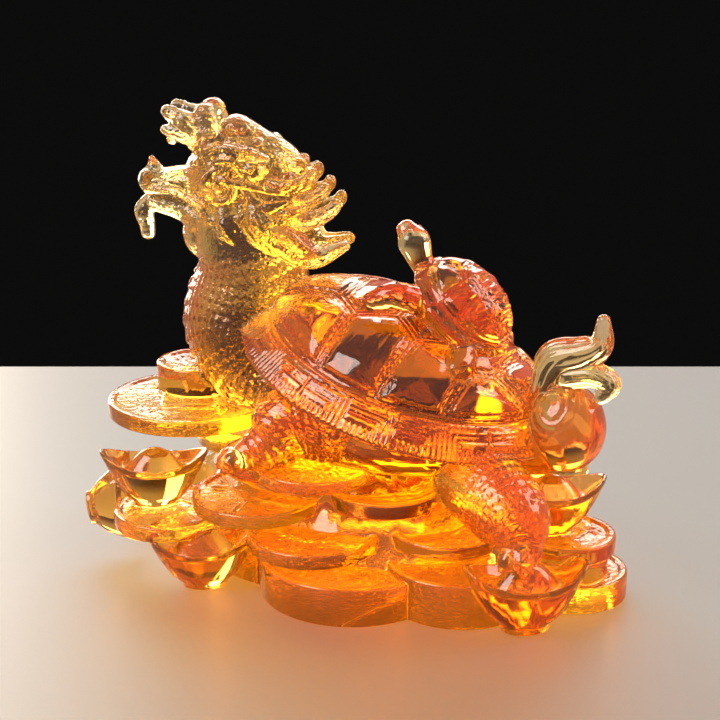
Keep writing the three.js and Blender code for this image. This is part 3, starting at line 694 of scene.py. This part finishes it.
def heapForms():
    mound, faces = turned([
        (0, 0), (0.69, 0), (0.68, 0.14), (0.58, 0.35), (0.44, 0.6), (0.28, 0.77), (0, 0.84),
    ])
    mound[:, 2] *= heap["height"] * (1 - 0.31 * mound[:, 0])  # lower towards the tail
    mound[:, 0] *= heap["length"] / 2
    mound[:, 1] *= 0.46 * heap["width"]
    forms = [(mound, faces)]
    for at, radius, thickness, lean, towards in treasure["near"]:
        turn = 37 * radius  # so that the coins' strokes don't all point the same way
        forms += lying(coinForms(radius, thickness), at, lean, towards, turn)
    for at, radius, thickness, lean, towards in treasure["far"]:
        forms += lying([coinBlank(radius, thickness)], at, lean, towards)
    for at, length, lean, towards, turn in treasure["ingots"]:
        forms += lying(ingotForms(length), at, lean, towards, turn)
    return forms


# One casting: the forms are joined, softened and brought to the node's own box

def objectOf(name, vertices, triangles):
    mesh = bpy.data.meshes.new(name)
    mesh.vertices.add(len(vertices))
    mesh.vertices.foreach_set("co", np.ascontiguousarray(vertices, np.float32).ravel())
    mesh.loops.add(3 * len(triangles))
    mesh.loops.foreach_set("vertex_index", np.ascontiguousarray(triangles, np.int32).ravel())
    mesh.polygons.add(len(triangles))
    mesh.polygons.foreach_set("loop_start", np.arange(0, 3 * len(triangles), 3, dtype=np.int32))
    mesh.update(calc_edges=True)
    made = bpy.data.objects.new(name, mesh)
    bpy.context.scene.collection.objects.link(made)
    return made


# Puts the result of an object's modifiers into its mesh.
def applied(made):
    evaluated = made.evaluated_get(bpy.context.evaluated_depsgraph_get())
    mesh = bpy.data.meshes.new_from_object(evaluated)
    made.modifiers.clear()
    old, made.data = made.data, mesh
    bpy.data.meshes.remove(old)
    return made


def placesOf(mesh):
    co = np.empty(3 * len(mesh.vertices), np.float32)
    mesh.vertices.foreach_get("co", co)
    return co.reshape(-1, 3).astype(float)


# Takes away what isn't joined to the casting, such as a closed bubble or a stray face.
def keepCasting(made):
    mesh = made.data
    ends = np.empty(2 * len(mesh.edges), np.int32)
    mesh.edges.foreach_get("vertices", ends)
    a, b = ends[::2], ends[1::2]
    label = np.arange(len(mesh.vertices))
    while True:
        lower = np.minimum(label[a], label[b])
        after = label.copy()
        np.minimum.at(after, label[a], lower)
        np.minimum.at(after, label[b], lower)
        after = after[after]
        if (after == label).all():
            break
        label = after
    strays = np.flatnonzero(label != np.bincount(label).argmax())
    whole = bmesh.new()
    whole.from_mesh(mesh)
    whole.verts.ensure_lookup_table()
    bmesh.ops.delete(whole, geom=[whole.verts[i] for i in strays], context="VERTS")
    whole.to_mesh(mesh)
    whole.free()
    print("stray vertices taken away:", len(strays))


def castInOne(name, forms):
    vertices, triangles, count = [], [], 0
    for places, faces in forms:
        vertices.append(places)
        triangles.append(faces + count)
        count += len(places)
    vertices = np.vstack(vertices)
    vertices[:, 2] = np.maximum(vertices[:, 2], 0)  # nothing reaches below the table
    vertices[:, :2] -= casting["modelMiddle"]
    made = objectOf(name, vertices * mm, np.vstack(triangles))
    print("forms joined:", len(forms), "forms,", len(made.data.polygons), "triangles")
    remesh = made.modifiers.new("join", "REMESH")
    remesh.mode = "VOXEL"
    remesh.voxel_size = casting["grain"] * mm
    applied(made)
    print("one skin:", len(made.data.polygons), "faces")
    keepCasting(made)
    soften = made.modifiers.new("soften", "SMOOTH")
    soften.factor = 0.5
    soften.iterations = casting["softening"]
    return applied(made)


# Puts the flat underside on the table and the sides where the solid's sides are.
def fitToNode(made, node):
    co = placesOf(made.data)
    low, high = [np.array(corner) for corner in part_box(node)]
    mine = co.min(0), co.max(0)
    scale = np.minimum((high - low) / (mine[1] - mine[0]), 1.02)
    co = (low + high) / 2 + (co - (mine[0] + mine[1]) / 2) * scale
    co[:, 2] += low[2] - co[:, 2].min()
    print("fit to the solid:", np.round(scale, 4))
    made.data.vertices.foreach_set("co", np.ascontiguousarray(co, np.float32).ravel())
    made.data.update()


# Fewer triangles, which keep the dense mesh's normals so that fine lines stay crisp.
def thin(made, most):
    made.data.shade_smooth()
    made.data.calc_loop_triangles()
    have = len(made.data.loop_triangles)
    if have > most:
        dense = bpy.data.objects.new("dense", made.data.copy())
        bpy.context.scene.collection.objects.link(dense)
        modifier = made.modifiers.new("thin", "DECIMATE")
        modifier.ratio = most / have
        modifier.use_collapse_triangulate = True
        applied(made)
        made.data.validate()
        keepCasting(made)
        modifier = made.modifiers.new("normals", "DATA_TRANSFER")
        modifier.object = dense
        modifier.use_loop_data = True
        modifier.data_types_loops = {"CUSTOM_NORMAL"}
        modifier.loop_mapping = "POLYINTERP_NEAREST"
        applied(made)
        mesh = dense.data
        bpy.data.objects.remove(dense)
        bpy.data.meshes.remove(mesh)
    made.data.calc_loop_triangles()
    print("thinned:", have, "to", len(made.data.loop_triangles), "triangles")


forms = heapForms() + bodyForms() + legForms() + tailForms() + headForms() + youngForms()
forms.append(moved(shellForm(shell), shellPlace(shell)))
figure = castInOne("dragon_turtle_glass", forms)
fitToNode(figure, "dragon_turtle")
thin(figure, casting["mostTriangles"])
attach(figure, "root")
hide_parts("dragon_turtle")


# Materials

# An sRGB hex colour as linear red, green and blue.
def linear(hexColour):
    parts = [int(hexColour[i:i + 2], 16) / 255 for i in (1, 3, 5)]
    return [c / 12.92 if c <= 0.04045 else ((c + 0.055) / 1.055) ** 2.4 for c in parts]


smooth = {"interpolation_type": "SMOOTHSTEP"}  # for map ranges that ease in and out


# Adds one node with its settings, its input values and its links, each by a socket's name or number.
def addNode(tree, kind, settings=None, links=None, **inputs):
    made = tree.nodes.new(kind)
    for name, value in (settings or {}).items():
        setattr(made, name, value)
    for name, value in inputs.items():
        made.inputs[name.replace("_", " ")].default_value = value
    for name, source in (links or {}).items():
        tree.links.new(source, made.inputs[name])
    return made


def newMaterial(name):
    material = bpy.data.materials.new(name)
    material.use_nodes = True
    material.node_tree.nodes.clear()
    return material, material.node_tree


amber = {
    "ior": 1.5,
    "roughness": 0.06,
    "clear": 0.97,  # share of the light that goes through, and the rest is a faint haze of bubbles
    "tint": "#f4d052",  # what is left of white light after the depth below
    "depth": 23,  # mm
    "heap": "#ffcc84",  # surface colours: the batch is deepest in the heap and the shells,
    "shell": "#e89e5c",
    "young": "#f8a470",
    "head": "#ffe8cc",  # and nearly clear in the head, the plume and the young one's head
    "shadow": "#fff3d8",
    "rippleSize": 5,  # mm between the slow waves that a mould leaves in poured glass
    "rippleHeight": 0.04,  # mm
    "pebbleSize": 1.1,  # mm between the pebbles of the finely pitted mould round the head
    "pebbleHeight": 0.32,  # mm
    "coinPebbles": 0.6,  # share of that height on the faces of the coins
    # places of their own: middle, full share within and none beyond, in mm
    "byHead": ((-27, 0, 88), 26, 40),
    "onNeck": ((-26, 0, 58), 14, 22),
    "byPlume": ((54, 0, 54), 13, 22),
    "byYoung": ((30, 0, 66), 11, 17),
    "youngsHead": ((12, 0, 81), 6, 10),
}


# Colour and density of an absorbing volume that leaves the tint after the depth, in metres.
def absorption(tint, depth):
    loss = [-math.log(max(c, 1e-3)) / depth for c in linear(tint)]
    density = max(loss)
    return [1 - x / density for x in loss] + [1], density


# A share that is 1 within the inner distance of a point and 0 beyond the outer one, in mm.
def nearTo(tree, where, point, inner, outer):
    centre = [(c - m) * mm for c, m in zip(point, (*casting["modelMiddle"], 0))]
    away = addNode(tree, "ShaderNodeVectorMath", {"operation": "DISTANCE"}, {"Vector": where})
    away.inputs[1].default_value = centre
    share = addNode(tree, "ShaderNodeMapRange", smooth, {"Value": away.outputs["Value"]},
                    From_Min=outer * mm, From_Max=inner * mm)
    return share.outputs["Result"]


# Cast glass, fire-polished: clear and wet-looking, deeper in colour where the batch is.
def castGlass(name):
    material, tree = newMaterial(name)
    where = addNode(tree, "ShaderNodeTexCoord").outputs["Object"]
    ripple = addNode(tree, "ShaderNodeTexNoise", links={"Vector": where},
                     Scale=1 / (amber["rippleSize"] * mm), Detail=2.0, Roughness=0.4)
    bump = addNode(tree, "ShaderNodeBump", links={"Height": ripple.outputs["Fac"]}, Strength=1.0,
                   Distance=amber["rippleHeight"] * mm)
    byHead = nearTo(tree, where, *amber["byHead"])
    # how far a place is above the plane of the shell's rim
    upright = shellPlace(shell).to_3x3() @ Vector((0, 0, 1))
    rise = addNode(tree, "ShaderNodeVectorMath", {"operation": "DOT_PRODUCT"}, {"Vector": where})
    rise.inputs[1].default_value = upright
    rim = upright.dot(Vector(shell["rim"]) - Vector((*casting["modelMiddle"], 0)))
    onShell = addNode(tree, "ShaderNodeMapRange", smooth, {"Value": rise.outputs["Value"]},
                      From_Min=(rim - 3) * mm, From_Max=(rim + 1) * mm)
    # the head, the neck and the coins' faces are pebbled, and the rest is smooth
    normal = addNode(tree, "ShaderNodeNewGeometry").outputs["Normal"]
    up = addNode(tree, "ShaderNodeSeparateXYZ", links={"Vector": normal}).outputs["Z"]
    flat = addNode(tree, "ShaderNodeMapRange", smooth, {"Value": up},
                   From_Min=0.8, From_Max=0.96, To_Max=amber["coinPebbles"])
    onHeap = addNode(tree, "ShaderNodeMapRange", links={"Value": onShell.outputs["Result"]},
                     To_Min=1.0, To_Max=0.0)
    pebbled = addNode(tree, "ShaderNodeMath", {"operation": "MULTIPLY"},
                      {0: flat.outputs["Result"], 1: onHeap.outputs["Result"]})
    for place in (byHead, nearTo(tree, where, *amber["onNeck"])):
        pebbled = addNode(tree, "ShaderNodeMath", {"operation": "MAXIMUM"},
                          {0: pebbled.outputs[0], 1: place})
    pebbles = addNode(tree, "ShaderNodeTexNoise", links={"Vector": where},
                      Scale=1 / (amber["pebbleSize"] * mm), Detail=1.0)
    heights = {"Height": pebbles.outputs["Fac"], "Strength": pebbled.outputs[0], "Normal": bump.outputs[0]}
    bump = addNode(tree, "ShaderNodeBump", links=heights, Distance=amber["pebbleHeight"] * mm)
    # a mix node's colours are its sockets 6 and 7
    base = addNode(tree, "ShaderNodeMix", {"data_type": "RGBA"}, {0: onShell.outputs["Result"]})
    base.inputs[6].default_value = [*linear(amber["heap"]), 1]
    base.inputs[7].default_value = [*linear(amber["shell"]), 1]
    others = [nearTo(tree, where, *amber[place]) for place in ("byPlume", "byYoung", "youngsHead")]
    for share, key in zip([byHead, *others], ("head", "head", "young", "head")):
        base = addNode(tree, "ShaderNodeMix", {"data_type": "RGBA"}, {0: share, 6: base.outputs[2]})
        base.inputs[7].default_value = [*linear(amber[key]), 1]
    glass = addNode(tree, "ShaderNodeBsdfPrincipled",
                    links={"Normal": bump.outputs["Normal"], "Base Color": base.outputs[2]},
                    Roughness=amber["roughness"], IOR=amber["ior"], Transmission_Weight=amber["clear"])
    # light that reaches the table through the glass is amber
    stain = addNode(tree, "ShaderNodeBsdfTransparent", Color=[*linear(amber["shadow"]), 1])
    shadowRay = addNode(tree, "ShaderNodeLightPath").outputs["Is Shadow Ray"]
    surface = addNode(tree, "ShaderNodeMixShader",
                      links={0: shadowRay, 1: glass.outputs[0], 2: stain.outputs[0]})
    colour, density = absorption(amber["tint"], amber["depth"] * mm)
    inside = addNode(tree, "ShaderNodeVolumeAbsorption", Color=colour, Density=density)
    addNode(tree, "ShaderNodeOutputMaterial",
            links={"Surface": surface.outputs[0], "Volume": inside.outputs[0]})
    return material


figure.data.materials.clear()
figure.data.materials.append(castGlass("poured_amber_glass"))
print("glass made")

table = {
    "colour": "#74716e",
    "roughness": 0.5,
    "behind": 152,  # mm from the figure to the far edge
    "span": 1400,
    "thick": 30,
    "toothSize": 1.1,  # mm between the bumps that a paint roller leaves
    "toothHeight": 0.1,
}


# A plain table whose far edge shows behind the figure. It is a board with rolled paint: the fine tooth of
# the roller breaks up the softboxes' reflections, so that it looks pale and matt.
def tablePlane(camera):
    away = -Vector((math.sin(camera), -math.cos(camera), 0))
    aside = Vector((away.y, -away.x, 0)) * table["span"] * mm / 2
    far, near = table["behind"] * mm, (table["span"] - table["behind"]) * mm
    corners = [away * far + aside, away * far - aside, -away * near - aside, -away * near + aside]
    vertices = np.array([(p.x, p.y, z) for z in (-table["thick"] * mm, 0) for p in corners])
    faces = [(0, 1, 2), (0, 2, 3), (4, 6, 5), (4, 7, 6)]
    for i in range(4):
        j = (i + 1) % 4
        faces += [(i, i + 4, j + 4), (i, j + 4, j)]
    made = objectOf("table", vertices, np.array(faces))
    material, tree = newMaterial("painted_board")
    where = addNode(tree, "ShaderNodeTexCoord").outputs["Object"]
    tooth = addNode(tree, "ShaderNodeTexNoise", links={"Vector": where},
                    Scale=1 / (table["toothSize"] * mm), Detail=3.0)
    bump = addNode(tree, "ShaderNodeBump", links={"Height": tooth.outputs["Fac"]},
                   Distance=table["toothHeight"] * mm, Strength=0.3)
    board = addNode(tree, "ShaderNodeBsdfPrincipled", links={"Normal": bump.outputs["Normal"]},
                    Base_Color=[*linear(table["colour"]), 1], Roughness=table["roughness"])
    addNode(tree, "ShaderNodeOutputMaterial", links={"Surface": board.outputs[0]})
    made.data.materials.append(material)
    return made


# Camera and studio

studio = {
    "azimuth": 25, "elevation": 17, "distance": 350, "target": (1.65, -3.95, 50), "lens": 80,
    "ceiling": 0.42, "walls": 0.34, "horizon": 0.004,  # brightness of the room and of the black cloth
    # each light: azimuth, elevation, distance in mm, width, height, watts, colour
    "lights": [
        (-35, 42, 620, 360, 420, 4.5, "#fff6ee"),  # large softbox to the left
        (120, 38, 700, 300, 500, 3, "#fff4e8"),  # softer box to the right
        (205, 34, 620, 700, 300, 5.5, "#fffaf4"),  # long box behind, which lights the glass through
        (236, 10, 620, 220, 420, 2.4, "#fff0dc"),  # narrow warm box behind on the left, at table height
    ],
}


def fromAngles(azimuth, elevation):
    a, e = math.radians(azimuth), math.radians(elevation)
    return Vector((math.sin(a) * math.cos(e), -math.cos(a) * math.cos(e), math.sin(e)))


target = Vector(studio["target"]) * mm
lens = bpy.data.cameras.new("camera")
lens.lens, lens.sensor_width = studio["lens"], 36
lens.clip_start = 0.01
camera = bpy.data.objects.new("camera", lens)
bpy.context.scene.collection.objects.link(camera)
back = fromAngles(studio["azimuth"], studio["elevation"])
camera.location = target + back * studio["distance"] * mm
camera.rotation_euler = back.to_track_quat("Z", "Y").to_euler()
bpy.context.scene.camera = camera

for index, (azimuth, elevation, distance, width, height, watts, colour) in enumerate(studio["lights"]):
    data = bpy.data.lights.new(f"softbox{index}", "AREA")
    data.shape, data.size, data.size_y = "RECTANGLE", width * mm, height * mm
    data.energy, data.color = watts, linear(colour)
    lamp = bpy.data.objects.new(f"softbox{index}", data)
    way = fromAngles(azimuth, elevation)
    lamp.location = target + way * distance * mm
    lamp.rotation_euler = way.to_track_quat("Z", "Y").to_euler()
    bpy.context.scene.collection.objects.link(lamp)


# A room that is bright overhead and dark below the height of the table.
def softRoom():
    world = bpy.data.worlds.new("soft room")
    world.use_nodes = True
    tree = world.node_tree
    tree.nodes.clear()
    way = addNode(tree, "ShaderNodeTexCoord").outputs["Generated"]
    rise = addNode(tree, "ShaderNodeSeparateXYZ", links={"Vector": way}).outputs["Z"]
    overhead = addNode(tree, "ShaderNodeMapRange", smooth, {"Value": rise},
                       From_Min=-0.05, From_Max=0.22, To_Min=studio["horizon"], To_Max=studio["ceiling"])
    # black cloth hangs in front and behind, and pale walls stand at the sides
    facing = addNode(tree, "ShaderNodeVectorMath", {"operation": "DOT_PRODUCT"}, {"Vector": way})
    facing.inputs[1].default_value = fromAngles(studio["azimuth"], 0)
    eitherWay = addNode(tree, "ShaderNodeMath", {"operation": "ABSOLUTE"}, {0: facing.outputs["Value"]})
    sides = addNode(tree, "ShaderNodeMapRange", smooth, {"Value": eitherWay.outputs[0]},
                    From_Min=0.925, From_Max=0.82, To_Max=studio["walls"])
    shade = addNode(tree, "ShaderNodeMath", {"operation": "MAXIMUM"},
                    {0: overhead.outputs["Result"], 1: sides.outputs["Result"]})
    room = addNode(tree, "ShaderNodeBackground", links={"Strength": shade.outputs[0]},
                   Color=(1, 0.98, 0.96, 1))
    addNode(tree, "ShaderNodeOutputWorld", links={"Surface": room.outputs[0]})
    return world


bpy.context.scene.world = softRoom()
bpy.context.scene.view_settings.view_transform = "Standard"  # keeps the amber as strong as in a photograph
tablePlane(math.radians(studio["azimuth"]))
print("studio made")
